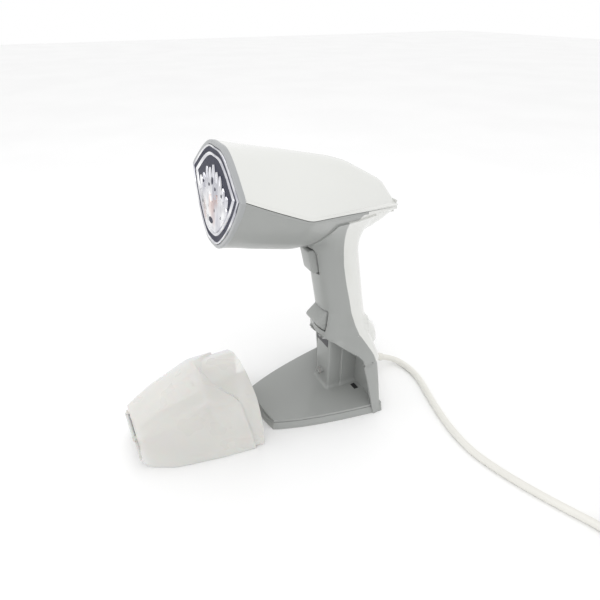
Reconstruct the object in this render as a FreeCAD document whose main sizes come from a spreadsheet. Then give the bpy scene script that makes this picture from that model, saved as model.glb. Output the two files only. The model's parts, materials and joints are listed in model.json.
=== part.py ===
"""Hand-held garment steamer on its own base, with its water tank lifted off.

Millimetres. +Z is up, the steam nozzle faces -X and the cord leaves at +X.
The origin is the middle of the flat underside of the base.
"""
import FreeCAD, Part
import math
import os

V = FreeCAD.Vector
doc = FreeCAD.newDocument("garment_steamer")
sheet = doc.addObject("Spreadsheet::Sheet", "Sizes")

SIZES = {
    # casing
    "wall": 2.4, "fit_gap": 0.4,
    # nozzle face: middle, tilt back, outline of the polished plate
    "face_x": -83.4, "face_z": 255.7, "face_tilt": 7.6,
    "plate_half": 50.6, "plate_top": 24.2, "plate_bottom": 49.2,
    "plate_thick": 3.0, "bezel_rim": 4.2, "bezel_depth": 5.0,
    # head: waist ridge, crown line, rear tip
    "waist_x": -28.5, "waist_half": 57.4, "waist_z": 232.4,
    "crown_front_z": 282.2, "crown_mid_z": 268.0, "crown_knee_x": 33.0,
    "crown_knee_z": 255.6, "rear_top_x": 74.0, "rear_top_z": 232.2,
    "tip_x": 95.2, "tip_z": 203.4, "belly_front_z": 203.6, "belly_mid_z": 188.5,
    # handle
    "handle_deep": 47.0, "handle_wide": 40.0, "handle_top_x": 25.0,
    "handle_low_x": 36.5, "handle_low_z": 110.0,
    # bay for the tank, and its legs
    "arch_z": 82.0, "arch_x": 12.0, "shoulder_z": 67.0, "shoulder_x": 37.0,
    "shoulder_half": 47.5, "leg_x": 46.0, "leg_half": 58.5, "foot_half": 60.5,
    "base_rear_x": 58.0, "bay_rear_x": 54.0,
    # base
    "base_height": 10.4, "base_front_x": -58.3, "base_corner_x": -54.5, "base_corner_half": 29.0,
    "base_mid_x": -20.0, "base_mid_half": 44.6, "plate_sheet": 2.5, "cover_sheet": 2.4,
    "post_x": 18.0, "post_deep": 18.0, "post_half": 12.9, "post_top": 79.0,
    # tank, standing in front of the base
    "tank_away_x": -125.4, "tank_away_y": 8.5, "tank_wall": 1.8, "tank_split": 18.0,
    "tank_front_top": 46.5, "tank_top": 81.0, "tank_rear_x": 53.0, "tank_step": 2.6,
    "spine_step": 1.0, "slot_clear": 0.7, "flap_thick": 2.0, "flap_half": 25.0, "filler_half": 17.0,
    "filler_tall": 12.0, "flap_tall": 24.0,
    # trigger, release button
    "trigger_half": 8.0, "pin_bore": 1.55, "pin_r": 1.5,
    "button_half": 11.5, "button_out": 12.3,
    # cord
    "cord_d": 7.0, "coil_out": 46.0, "coil_in": 30.0, "coil_tall": 28.0,
}
for row, (name, value) in enumerate(SIZES.items(), 1):
    sheet.set(f"A{row}", name)
    sheet.set(f"B{row}", str(value))
    sheet.setAlias(f"B{row}", name)
doc.recompute()


def size(name):
    return float(sheet.get(name))


NODES = {}


def keep(name, item):
    """Label an object of the document as a finished piece."""
    item.Label = name
    NODES[name] = item
    return item


def solid(name, shape, away=None):
    """A piece whose outline no primitive gives, made from the sheet's sizes."""
    item = doc.addObject("Part::Feature", name)
    item.Shape = shape
    if away:
        item.Placement = FreeCAD.Placement(away, FreeCAD.Rotation())
    return keep(name, item)


def bind(item, prop, rule):
    """Tie a property to the sheet; $word stands for that cell."""
    item.setExpression(prop, str(rule).replace("$", "Sizes."))


def at(item, place):
    for axis, rule in zip("xyz", place):
        bind(item, f"Placement.Base.{axis}", rule)
    return item


TURNS = {"z": (V(0, 0, 1), 0), "x": (V(0, 1, 0), 90), "y": (V(1, 0, 0), -90)}


def box(name, spans, place):
    """A box tied to the sheet: its length, width, height and lowest corner."""
    item = doc.addObject("Part::Box", name)
    for prop, rule in zip(("Length", "Width", "Height"), spans):
        bind(item, prop, rule)
    return at(item, place)


def rod(name, radius, length, place, along="z"):
    """A cylinder tied to the sheet, from place along an axis."""
    item = doc.addObject("Part::Cylinder", name)
    bind(item, "Radius", radius)
    bind(item, "Height", length)
    item.Placement = FreeCAD.Placement(V(), FreeCAD.Rotation(*TURNS[along]))
    return at(item, place)


def fuse(name, *items):
    item = doc.addObject("Part::MultiFuse", name)
    item.Shapes = list(items)
    return item


def cut(name, base, *tools):
    """base less each tool; the last step carries the name."""
    for number, tool in enumerate(tools, 1):
        step = doc.addObject("Part::Cut", f"{name}_step{number}")
        step.Base, step.Tool = base, tool
        base = step
    return base


def ring(name, outer, inner, length, place, along="z"):
    """A tube: a cylinder with a bore that runs 1 mm past both of its ends."""
    back = {axis: f"({rule}) - 1" if axis == along else rule for axis, rule in zip("xyz", place)}
    bore = rod(name + "_bore", inner, f"({length}) + 2", tuple(back.values()), along)
    return cut(name, rod(name + "_wall", outer, length, place, along), bore)


# --- outlines and lofts -------------------------------------------------------------

def face_of(points):
    return Part.Face(Part.makePolygon(points + points[:1]))


def mirrored(half):
    """A closed outline in (y, z) or (x, y) from its half, whose ends lie on the middle line."""
    return half + [(-a, b) for a, b in half[-2:0:-1]]


def loft(sections):
    """A solid through closed outlines that have the same number of corners."""
    wires = [Part.makePolygon(points + points[:1]) for points in sections]
    return Part.makeLoft(wires, True, True)


def slab(points, low, high):
    """The outline in X and Z carried from y = low to y = high."""
    return face_of([V(x, low, z) for x, z in points]).extrude(V(0, high - low, 0))


def block(x, y, z):
    """A box from three (low, high) pairs."""
    spans = [high - low for low, high in (x, y, z)]
    return Part.makeBox(*spans, V(x[0], y[0], z[0]))


FAR = 400.0
WALL, GAP = size("wall"), size("fit_gap")
TILT = math.tan(math.radians(size("face_tilt")))
TIP_HALF = 2.5


def ridge():
    """The waist line of the head in X and Z, front to rear."""
    front = size("face_x") + size("bezel_depth")
    drop = (front - size("face_x")) * 0.42
    return [(front - 30, size("face_z") - drop + 30 * 0.42), (front, size("face_z") - drop),
            (size("waist_x"), size("waist_z")), (size("tip_x"), size("tip_z"))]


def head_stations():
    """x, lean, half width and z at the waist, crease, crown and belly, front to rear."""
    front = size("face_x") + size("bezel_depth")
    rear_slope = (size("tip_z") - size("waist_z")) / (size("tip_x") - size("waist_x"))
    taper = (size("waist_half") - TIP_HALF) / (size("tip_x") - size("waist_x"))

    def waist(x):
        run = x - size("waist_x")
        return size("waist_half") - taper * run, size("waist_z") + rear_slope * run

    knee, top = size("crown_knee_x"), size("rear_top_x")
    edge = size("bezel_rim") - 0.8
    return [
        (front, TILT, (size("plate_half") + edge, ridge()[1][1]), (24.0, size("crown_front_z") - 4.6),
         size("crown_front_z") - 0.9, size("belly_front_z") + 0.6),
        (size("waist_x"), 0.0, (size("waist_half"), size("waist_z")), (16.0, size("crown_mid_z") - 0.8),
         size("crown_mid_z") + 4.5, size("belly_mid_z") + 2.0),
        (knee, 0.0, waist(knee), (14.0, size("crown_knee_z") - 10.5), size("crown_knee_z"),
         size("belly_mid_z") - 3.0),
        (top, 0.0, waist(top), (3.0, size("rear_top_z") - 2.0), size("rear_top_z"), size("tip_z") - 11.5),
        (size("tip_x"), 0.0, (TIP_HALF, size("tip_z")), (1.2, size("tip_z") + 1.4),
         size("tip_z") + 1.8, size("tip_z") - 1.8),
    ]


def head_section(x, lean, waist, crease, crown, belly, inset=0.0):
    """One closed outline of the head, drawn in by inset on every side."""
    half, middle = waist
    fall = middle - belly
    points = [(0, crown), (crease[0] * 0.55, crown - (crown - crease[1]) * 0.3), crease, waist,
              (half * 0.78, middle - fall * 0.42), (half * 0.52, middle - fall * 0.79),
              (half * 0.26, middle - fall * 0.95), (0, belly)]
    outline = [V(x + lean * (z - size("face_z")), y, z) for y, z in mirrored(points)]
    if not inset:
        return outline
    centre = V(outline[0].x + outline[7].x, 0, outline[0].z + outline[7].z) * 0.5
    shrunk = []
    for point in outline:
        arm = point - centre
        reach = max(arm.Length, 1e-6)
        shrunk.append(centre + arm * (max(reach - inset * 1.12, reach * 0.1) / reach))
    return shrunk


def handle_stations():
    """z, front x, rear x, half width and squareness of the plan section, top down."""
    half_deep = size("handle_deep") / 2
    lean = (size("handle_low_x") - size("handle_top_x")) / (178.0 - size("handle_low_z"))
    wide = size("handle_wide") / 2
    low_x, low_z = size("handle_low_x"), size("handle_low_z")
    rows = []
    for z, spread in ((206.0, 3.0), (190.0, 1.0), (175.0, 0.0), (low_z, 0.0)):
        middle = low_x - lean * (z - low_z)
        rows.append((z, middle - half_deep, middle + half_deep + spread, wide + spread, 2.5))
    arch, shoulder = size("arch_z"), size("shoulder_z")
    rear = size("base_rear_x")
    return rows + [
        (arch + 11, size("arch_x") + 0.5, low_x + half_deep + 2, wide + 2.5, 2.4),
        (arch, size("arch_x"), rear + 4, wide + 6.5, 2.4),
        (arch - 5, size("arch_x"), rear + 4, size("shoulder_half") - 14, 2.6),
        (arch - 10, size("arch_x"), rear + 3, size("shoulder_half") - 6, 3.2),
        (shoulder, size("arch_x"), rear + 2, size("shoulder_half"), 5.0),
        (shoulder * 0.64, size("arch_x") - 4, rear, size("shoulder_half") + 6.5, 8.0),
        (size("base_height"), size("arch_x") - 8, rear, size("leg_half"), 12.0),
        (0.0, size("arch_x") - 10, rear, size("foot_half"), 12.0),
    ]


def handle_section(z, front, rear, half, square, inset=0.0):
    """A rounded outline in plan, a super-ellipse of 28 corners."""
    middle, deep = (front + rear) / 2, (rear - front) / 2 - inset
    points = []
    for step in range(28):
        turn = math.tau * step / 28
        c, s = math.cos(turn), math.sin(turn)
        points.append(V(middle - deep * math.copysign(abs(c) ** (2 / square), c),
                        (half - inset) * math.copysign(abs(s) ** (2 / square), s), z))
    return points


def stretched(rows, top, bottom):
    """The same stations with the first and last moved outwards, for a cavity open at both ends."""
    first, last = (rows[0][0] + top,) + rows[0][1:], (rows[-1][0] - bottom,) + rows[-1][1:]
    return [first] + rows[1:-1] + [last]


def bay_front():
    """The front edge of the arch and legs, in X and Z, as a cutter that removes all before it."""
    return [(-FAR, -20), (size("leg_x") + 1, -20), (size("leg_x"), size("base_height") - 2),
            (size("shoulder_x"), size("shoulder_z")), (size("shoulder_x") - 11, size("arch_z") - 7),
            (size("arch_x") + 5, size("arch_z") - 2), (size("arch_x") - 1, size("arch_z")),
            (-FAR, size("arch_z"))]


def seam():
    """The seam between the front shell and the rear cover, in X and Z, with all behind it."""
    low_x, low_z = size("handle_low_x"), size("handle_low_z")
    return [(low_x - 2, 222), (low_x - 2.5, 210), (low_x - 11, 196), (low_x - 12, 184),
            (low_x - 10.5, 166), (low_x - 6.5, 145), (low_x - 1.8, 124), (low_x + 1, 107),
            (low_x + 4, 93), (low_x + 7.5, 82), (low_x + 10.5, 70), (low_x + 12.5, 60),
            (low_x + 15, 30), (low_x + 15, -20), (FAR, -20), (FAR, 222)]


def bulge_section(z, front, rear, half):
    """The swelling low on the rear cover that the cord comes out of."""
    side = front + (rear - front) * 0.7
    return [V(front, -half, z), V(front, half, z), V(side, half * 0.8, z), V(rear, half * 0.35, z),
            V(rear, -half * 0.35, z), V(side, -half * 0.8, z)]


def bulge(inset=0.0):
    rows = [(96.0, size("base_rear_x") + 3.5, 14.0), (76.0, size("base_rear_x") + 18, 19.0),
            (52.0, size("base_rear_x") + 20, 22.0), (1.0, size("base_rear_x") + 22, 24.0)]
    rows[-1] = (rows[-1][0] + inset,) + rows[-1][1:]
    front = size("base_rear_x") - 0.5 - (inset and inset + 0.6)
    return loft([bulge_section(z, front, rear - inset, half - inset) for z, rear, half in rows])


def make_casing():
    """The head, handle and legs as one skin, parted into three shells along its seams."""
    rows, hand = head_stations(), handle_stations()
    head = loft([head_section(*row) for row in rows])
    hollow = loft([head_section(*row, inset=WALL) for row in rows])
    first = rows[0]
    mouth = loft([head_section(*first, inset=WALL),
                  [p - V(3, 0, 0) for p in head_section(*first, inset=WALL)]])
    grip = loft([handle_section(*row) for row in hand])
    grip_hollow = loft([handle_section(*row, inset=WALL) for row in stretched(hand, -6, 5)])
    swell, swell_hollow = bulge(), bulge(WALL)
    skin = head.fuse([grip, swell])
    for empty in (hollow, mouth, grip_hollow, swell_hollow, slab(bay_front(), -FAR, FAR)):
        skin = skin.cut(empty)
    line = ridge()
    above = slab(line + [(FAR, line[-1][1]), (FAR, FAR), (-FAR, FAR), (-FAR, line[0][1])], -FAR, FAR)
    behind = slab(seam(), -FAR, FAR)
    corners = [block((0, FAR), (side * 42 - 60 + side * 60, side * 42 + 60 + side * 60), (-20, 62))
               for side in (-1, 1)]
    behind = behind.cut(corners)
    return skin.common(above), skin.cut(above).cut(behind), skin.cut(above).common(behind)


# --- casing -------------------------------------------------------------------------

def base_outline(grow=0.0, rear=None):
    """The plan outline of the base: a bowed front, two long curved sides, a straight rear."""
    corner, half = size("base_corner_x"), size("base_corner_half")
    rear = rear or size("base_rear_x")
    points = [V(corner, -half, 0), V(size("base_front_x"), 0, 0), V(corner, half, 0),
              V(size("base_mid_x"), size("base_mid_half"), 0), V(rear, size("leg_half"), 0)]
    left = Part.Arc(points[2], points[3], points[4]).toShape()
    right = left.mirror(V(), V(0, 1, 0))
    front = Part.Arc(points[0], points[1], points[2]).toShape()
    back = Part.LineSegment(points[4], V(rear, -size("leg_half"), 0)).toShape()
    wire = Part.Wire(Part.__sortEdges__([front, left, back, right]))
    return wire.makeOffset2D(grow) if grow else wire


def raised(wire, z):
    lifted = wire.copy()
    lifted.translate(V(0, 0, z))
    return lifted


def base_slab(grow, low, high):
    return Part.Face(raised(base_outline(grow), low)).extrude(V(0, 0, high - low))


RIM_TOP = size("base_height") - size("plate_sheet") - 0.7


def make_rim():
    """The side wall of the base, wider at its foot, from its front round to the legs."""
    flare = size("foot_half") - size("leg_half") + 0.4
    outer = Part.makeLoft([raised(base_outline(flare), 0), raised(base_outline(), RIM_TOP)], True, True)
    behind_legs = block((size("leg_x") + 2, FAR), (-FAR, FAR), (-1, 40))
    return outer.cut(base_slab(-WALL, -1, RIM_TOP + 1)).cut(behind_legs)


TRIGGER_TOP, TRIGGER_LOW = 181.0, 153.0
PIN_X, PIN_Z = 4.5, 177.5
BUTTON_LOW, BUTTON_TOP = 91.5, 114.0
CORD_R = size("cord_d") / 2
BOOT_START, BOOT_END = V(74, 0, 26), V(100.7, 0, 13.4)
BOOT_LINE = (BOOT_END - BOOT_START).normalize()


def tapered(start, end, r_start, r_end):
    long = (end - start).Length
    if r_start == r_end:
        return Part.makeCylinder(r_start, long, start, end - start)
    return Part.makeCone(r_start, r_end, long, start, end - start)


def add_openings(front, rear):
    """The windows for trigger and button, the pin's bosses, and the hole for the cord."""
    half, button = size("trigger_half") + GAP, size("button_half") + GAP
    bosses = [Part.makeCylinder(3.4, 3.0, V(PIN_X, side * (half + 1.5) - 1.5, PIN_Z), V(0, 1, 0))
              for side in (-1, 1)]
    front = front.fuse(bosses)
    front = front.cut(block((-20, 13), (-half, half), (TRIGGER_LOW - 1.2, TRIGGER_TOP + 3)))
    front = front.cut(Part.makeCylinder(size("pin_r"), 60, V(PIN_X, -30, PIN_Z), V(0, 1, 0)))
    front = front.cut(block((-10, 24), (-button, button), (BUTTON_LOW - GAP, BUTTON_TOP + GAP)))
    hole = tapered(BOOT_START, BOOT_END, 6.6, 6.0)
    return front, rear.cut(hole)


top_cover, front_shell, rear_cover = make_casing()
front_shell = front_shell.fuse(make_rim())
front_shell, rear_cover = add_openings(front_shell, rear_cover)
solid("top_cover", top_cover)
solid("front_shell", front_shell)
solid("rear_cover", rear_cover)


# --- nozzle -------------------------------------------------------------------------

def face_outline(grow=0.0):
    """The rounded six-sided outline of the nozzle, in its own Y and Z."""
    half, top, low = size("plate_half"), size("plate_top"), size("plate_bottom")
    arch = (half * 0.43, top * 0.81)
    hip, heel = (half * 0.78, -low * 0.44), (half * 0.5, -low * 0.775)
    edges = [Part.Arc(V(0, -arch[0], arch[1]), V(0, 0, top), V(0, *arch)).toShape()]
    for side in (1, -1):
        edges.append(Part.LineSegment(V(0, side * arch[0], arch[1]), V(0, side * half, 0)).toShape())
        edges.append(Part.Arc(V(0, side * half, 0), V(0, side * hip[0], hip[1]),
                              V(0, side * heel[0], heel[1])).toShape())
    edges.append(Part.Arc(V(0, -heel[0], heel[1]), V(0, 0, -low), V(0, *heel)).toShape())
    wire = Part.Wire(Part.__sortEdges__(edges))
    return wire.makeOffset2D(grow) if grow else wire


NOZZLE = FreeCAD.Placement(V(size("face_x"), 0, size("face_z")),
                           FreeCAD.Rotation(V(0, 1, 0), size("face_tilt")))


def disc(grow, near, far):
    """A plate of the nozzle's outline, between two depths behind its face."""
    wire = face_outline(grow)
    wire.translate(V(near, 0, 0))
    return Part.Face(wire).extrude(V(far - near, 0, 0))


def nozzle_piece(name, shape):
    item = solid(name, shape)
    item.Placement = NOZZLE
    return item


def steam_holes():
    """Three bowed rows of steam outlets."""
    holes = []
    for row, count in ((6.0, 5), (-8.0, 7), (-22.0, 5)):
        for step in range(count):
            y = (step - (count - 1) / 2) * 10.5
            holes.append(Part.makeCylinder(1.2, 20, V(-5, y, row - abs(y) * 0.12), V(1, 0, 0)))
    return holes


RIM, THICK = size("bezel_rim"), size("plate_thick")
nozzle_piece("nozzle_bezel", disc(RIM, 0.8, size("bezel_depth") - 0.1)
             .cut(disc(GAP, -1, THICK)).cut(disc(-2.0, 0, 20)))
nozzle_piece("steam_plate", disc(0, 0, THICK).fuse(disc(-9, -0.8, 0)).cut(steam_holes()))
SEAL_END, BLOCK_END = THICK + 2.0, THICK + 22.0
nozzle_piece("plate_seal", disc(-4, THICK, SEAL_END).cut(disc(-7, THICK - 1, SEAL_END + 1)))


def heater_shape():
    """A bent sheathed rod: two legs joined by a half ring, with ends that turn to the rear."""
    r, half, x = 3.2, 24.0, SEAL_END + 9
    bend = Part.makeTorus(half, r, V(x, 0, -10), V(1, 0, 0))
    bend = bend.common(block((0, 60), (-60, 60), (-60, -10)))
    legs = [Part.makeCylinder(r, 16, V(x, side * half, -10), V(0, 0, 1)) for side in (-1, 1)]
    tails = [Part.makeCylinder(r, 26, V(x - r, side * half, 3), V(1, 0, 0)) for side in (-1, 1)]
    return bend.fuse(legs + tails)


heater = heater_shape()
chamber = disc(-12, SEAL_END - 1, SEAL_END + 4)
boiler = disc(-7, SEAL_END, BLOCK_END).cut(chamber).cut(heater)
inlet = Part.makeCylinder(3.0, 40, V(SEAL_END, 0, 8), V(1, 0, 0))
nozzle_piece("boiler_block", boiler.cut(inlet))
nozzle_piece("heating_element", heater)
nozzle_piece("boiler_cover", disc(-8, BLOCK_END, BLOCK_END + 3).cut(heater).cut(inlet))
nozzle_piece("thermostat", Part.makeCylinder(8, 9, V(BLOCK_END + 3, 0, -14), V(1, 0, 0)))
nozzle_piece("thermal_fuse", Part.makeCylinder(2.2, 22, V(BLOCK_END + 5.2, -11, -30), V(0, 1, 0)))
nozzle_piece("water_inlet", Part.makeCylinder(2.9, 14, V(BLOCK_END - 6, 0, 8), V(1, 0, 0))
             .cut(Part.makeCylinder(1.3, 40, V(0, 0, 8), V(1, 0, 0))))
shield = disc(-8, BLOCK_END + 14, BLOCK_END + 14.8).cut(
    Part.makeCylinder(9, 30, V(BLOCK_END, 0, 8), V(1, 0, 0)))
nozzle_piece("heat_shield", shield)


# --- base ---------------------------------------------------------------------------

def leg_corners():
    """The rounded inner corners of the legs, which the plate and the cover stay clear of."""
    return [block((size("leg_x") + 5, FAR), (side * 120 - 68, side * 120 + 68), (-1, 40))
            for side in (-1, 1)]


def make_base_plate():
    """The plate the tank stands on, its hollow post, and the lining at the back of the bay."""
    top, rear = size("base_height"), size("bay_rear_x")
    post_x, deep, half = size("post_x"), size("post_deep"), size("post_half")
    slab_shape = base_slab(-0.5, top - size("plate_sheet"), top)
    inner = size("leg_half") - WALL - 1.2
    slab_shape = slab_shape.cut([block((size("leg_x") - 1.5, FAR), (side * inner if side > 0 else -FAR,
                                        FAR if side > 0 else -inner), (0, 40)) for side in (-1, 1)])
    slab_shape = slab_shape.cut([block((rear - 0.6, FAR), (-FAR, FAR), (0, 40))] + leg_corners())
    post = block((post_x, post_x + deep), (-half, half), (top - 1, size("post_top")))
    spine_half = half + size("spine_step")
    spine = block((post_x + deep, rear), (-spine_half, spine_half), (top - 1, size("post_top") - 6))
    lining_half = size("shoulder_half") - 15
    wall = block((rear - 0.8, rear + 0.8), (-lining_half, lining_half), (top - 1, 58))
    hollow = block((post_x + WALL, rear + 5), (-half + WALL, half - WALL), (-5, 200))
    catches = [block((size("shoulder_x") + 7, size("shoulder_x") + 12), (side * 24 - 4.5, side * 24 + 4.5),
                     (0, 20)) for side in (-1, 1)]
    return slab_shape.fuse([post, spine, wall]).cut([hollow] + catches)


SPIGOT_Z, SCREW_R = 28.0, 1.5
SCREWS = [(-40.0, 26.0), (-40.0, -26.0), (40.0, 44.0), (40.0, -44.0)]
PADS = [(-46.0, 18.0), (-46.0, -18.0), (47.0, 36.0), (47.0, -36.0)]
base_plate = make_base_plate().cut(Part.makeCylinder(3.2, 6, V(size("post_x") - 1, 0, SPIGOT_Z), V(1, 0, 0)))
pillars = [Part.makeCylinder(3.4, RIM_TOP + 0.7 - size("cover_sheet"), V(x, y, size("cover_sheet")))
           for x, y in SCREWS]
holes = [Part.makeCylinder(SCREW_R, 5.5, V(x, y, 1.5)) for x, y in SCREWS]
solid("base_plate", base_plate.fuse(pillars).cut(holes))
cover = base_slab(-WALL - GAP, 0, size("cover_sheet"))
cover = cover.cut([block((size("base_rear_x") - WALL - 1, FAR), (-FAR, FAR), (-1, 9))] + leg_corners())
cover = cover.cut([Part.makeCylinder(6.2, 1.2, V(x, y, 0)) for x, y in PADS])
cover = cover.cut([Part.makeCylinder(2.8, 1.5, V(x, y, 0)) for x, y in SCREWS]).cut(holes)
solid("bottom_cover", cover)
solid("base_screws", Part.makeCompound([
    Part.makeCylinder(2.7, 1.2, V(x, y, 0.3)).fuse(Part.makeCylinder(SCREW_R, 5.4, V(x, y, 1.5)))
    for x, y in SCREWS]))
solid("base_pads", Part.makeCompound([Part.makeCylinder(6.0, 1.2, V(x, y, 0)) for x, y in PADS]))


# --- water path and electrics, tied to the sheet -----------------------------------

def pipe(points, r, bore):
    """A hose along straight runs joined by tangent arcs, all in one plane."""
    route = route_wire(points)
    start = route.Edges[0].firstVertex().Point
    along = route.Edges[0].tangentAt(route.Edges[0].FirstParameter)
    rims = [Part.Wire(Part.makeCircle(radius, start, along)) for radius in (r, bore) if radius]
    shapes = [Part.Wire(route.Edges).makePipeShell([rim], True, False) for rim in rims]
    return shapes[0].cut(shapes[1]) if bore else shapes[0]


def route_wire(points, show=False):
    """Straight runs between points, each corner rounded as far as its two runs allow."""
    edges, here, radii = [], points[0], []
    for before, corner, after in zip(points, points[1:], points[2:]):
        back, ahead = before - corner, after - corner
        turn = math.pi - back.getAngle(ahead)
        reach = 0.45 * min(back.Length, ahead.Length)
        back.normalize()
        ahead.normalize()
        first, last = corner + back * reach, corner + ahead * reach
        radius = reach / math.tan(turn / 2)
        radii.append(radius)
        middle = back + ahead
        middle.normalize()
        centre = corner + middle * (radius / math.cos(turn / 2))
        edges.append(Part.LineSegment(here, first).toShape())
        edges.append(Part.Arc(first, centre - middle * radius, last).toShape())
        here = last
    edges.append(Part.LineSegment(here, points[-1]).toShape())
    if show:
        print("cord radii", [round(radius) for radius in radii])
    return Part.Wire(edges)


keep("inlet_spigot", cut("spigot", fuse(
    "spigot_whole", rod("spigot_nose", "3.1", "9", ("$post_x - 6", "0", str(SPIGOT_Z)), "x"),
    rod("spigot_flange", "6", "2", ("$post_x + $wall", "0", str(SPIGOT_Z)), "x")),
    rod("spigot_bore", "1.3", "30", ("$post_x - 10", "0", str(SPIGOT_Z)), "x")))
keep("spigot_seal", ring("spigot_ring", "4.0", "3.1", "1.6", ("$post_x - 4.4", "0", str(SPIGOT_Z)), "x"))
solid("inlet_hose", pipe([V(size("post_x") + WALL + 2, 0, SPIGOT_Z), V(30, 0, SPIGOT_Z),
                          V(31, 0, 60), V(34.5, 0, 86), V(34.5, 0, 108)], 2.6, 1.4))
keep("pump_body", fuse("pump", rod("pump_case", "11", "34", ("34.5", "0", "114")),
                       rod("pump_inlet", "3", "6", ("34.5", "0", "108")),
                       rod("pump_outlet", "3", "6", ("34.5", "0", "148"))))
keep("pump_coil", ring("coil_winding", "14.5", "11.2", "20", ("34.5", "0", "121")))
solid("outlet_hose", pipe([V(34.5, 0, 154), V(34.5, 0, 176), V(24, 0, 214), V(-6, 0, 238), V(-38, 0, 254)],
                          2.6, 1.4))
keep("micro_switch", cut("switch", box("switch_case", ("12", "7", "16"), ("14.5", "-3.5", "157")),
                         rod("switch_bore", "1.25", "5", ("13.5", "0", "165"), "x")))
keep("circuit_board", box("board", ("1.6", "18", "26"), ("40.3", "-9", "158")))
keep("board_parts", fuse("parts_group", box("relay", ("3.2", "12", "8"), ("37.1", "-6", "173")),
                         box("dropper", ("2.4", "5", "6"), ("37.9", "3.5", "162"))))
keep("cord_clamp", cut("clamp", box("clamp_bar", ("6", "20", "9"), ("58.6", "-10", "24")),
                       rod("clamp_bore", "$cord_d / 2", "30", ("55", "0", "28.5"), "x")))
keep("spring_seat", box("seat_plate", ("1.6", "22", "16"), ("27", "-11", "94")))

# --- trigger and release button ------------------------------------------------------
trigger_side = [(-7.6, TRIGGER_TOP - 1), (-3.6, TRIGGER_LOW + 1.5), (-1.5, TRIGGER_LOW),
                (7.0, TRIGGER_LOW), (9.5, TRIGGER_LOW + 4), (9.5, 168.0), (8.2, TRIGGER_TOP),
                (-5.5, TRIGGER_TOP)]
bore = Part.makeCylinder(size("pin_bore"), 60, V(PIN_X, -30, PIN_Z), V(0, 1, 0))
hollow = block((1.0, 20), (-5.5, 5.5), (TRIGGER_LOW + 2, 172))
trigger = slab(trigger_side, -size("trigger_half"), size("trigger_half"))
solid("trigger", trigger.cut(bore).cut(hollow).fuse(block((1.0, 9.5), (-2.5, 2.5), (163, 167))))
keep("trigger_pin", rod("pin", "$pin_r", "2 * ($trigger_half + $fit_gap + 3)",
                        (str(PIN_X), "-($trigger_half + $fit_gap + 3)", str(PIN_Z)), "y"))
keep("trigger_spring", ring("spring_one", "2.4", "1.7", "13", ("1.3", "0", "158.8"), "x"))
keep("switch_plunger", rod("plunger", "1.2", "6", ("9.9", "0", "165"), "x"))
button_side = [(13.6, BUTTON_TOP), (13.0 - size("button_out"), 103.2), (10.4, BUTTON_LOW + 0.2),
               (18.5, BUTTON_LOW), (18.5, BUTTON_TOP)]
button = slab(button_side, -size("button_half"), size("button_half"))
hook = block((15.4, 18.5), (-5, 5), (85.0, BUTTON_LOW + 1))
solid("release_button", button.fuse(hook))
keep("button_spring", ring("spring_two", "3.0", "2.2", "8.1", ("18.7", "0", "103"), "x"))

# --- tank, standing off the base -----------------------------------------------------
AWAY = V(size("tank_away_x"), size("tank_away_y"), -size("base_height"))
FLOOR, SPLIT = size("base_height"), size("tank_split")
FRONT = size("base_front_x") + 1.3


def tank_stations(inner=False):
    """x and half-outline (y, z) of the tank, front to rear: crown, shoulders, side, foot."""
    top, step = size("tank_top"), size("tank_step")
    low, side = size("shoulder_half"), size("leg_half")
    front = [
        (FRONT, [(0, size("tank_front_top") + 1), (14, size("tank_front_top") + 0.7),
                 (27.5, size("tank_front_top") - 1), (27.8, 34), (26.5, 24), (25, 17)]),
        (FRONT + 5, [(0, size("tank_front_top") + 3.6), (15, size("tank_front_top") + 3.2),
                     (29.5, size("tank_front_top") + 1), (30.8, 34), (30, 22), (28, FLOOR)]),
        (-30.0, [(0, top - 20.5), (18, top - 21.5), (34, top - 25), (40.5, 34), (41.3, 24), (40.5, FLOOR)]),
        (13.0, [(0, top - 1), (18, top - 3), (37, top - 10.5), (48, 40), (50.4, 25), (50.6, FLOOR)]),
        (size("shoulder_x") + 1, [(0, top + 1), (20, top - 1.5), (low - 1.5, size("shoulder_z") - 1),
                                  (side - 5.5, 40), (side - 3.4, 25), (side - 2.8, FLOOR)]),
    ]
    if not inner:
        return front
    rear = size("tank_rear_x")
    return [
        (5.0, [(0, top - 7.5), (16, top - 9), (33, top - 16.5), (46, 38), (47.5, 25), (48.0, FLOOR)]),
        (size("shoulder_x"), [(0, top - step - 2), (17, top - step - 3), (low - 5, size("shoulder_z") - 5),
                              (side - 8, 40), (side - 5.6, 25), (side - 4.8, FLOOR)]),
        (rear, [(0, top - 5), (15, top - 5.5), (low - 10, 62), (low + 0.5, 38), (low + 4.5, 25),
                (side - 4.6, FLOOR)]),
    ]


def tank_section(x, half, inset=0.0):
    """A closed outline of the tank, drawn in by inset at its foot, sides and top."""
    outline = []
    for y, z in mirrored(half):
        middle = 38.0
        y -= math.copysign(min(inset * 1.05, abs(y)), y)
        z += inset if z < middle - 12 and z <= FLOOR + 7 else -inset * 1.15 if z > middle else 0
        outline.append(V(x, y, z))
    return outline


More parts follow.
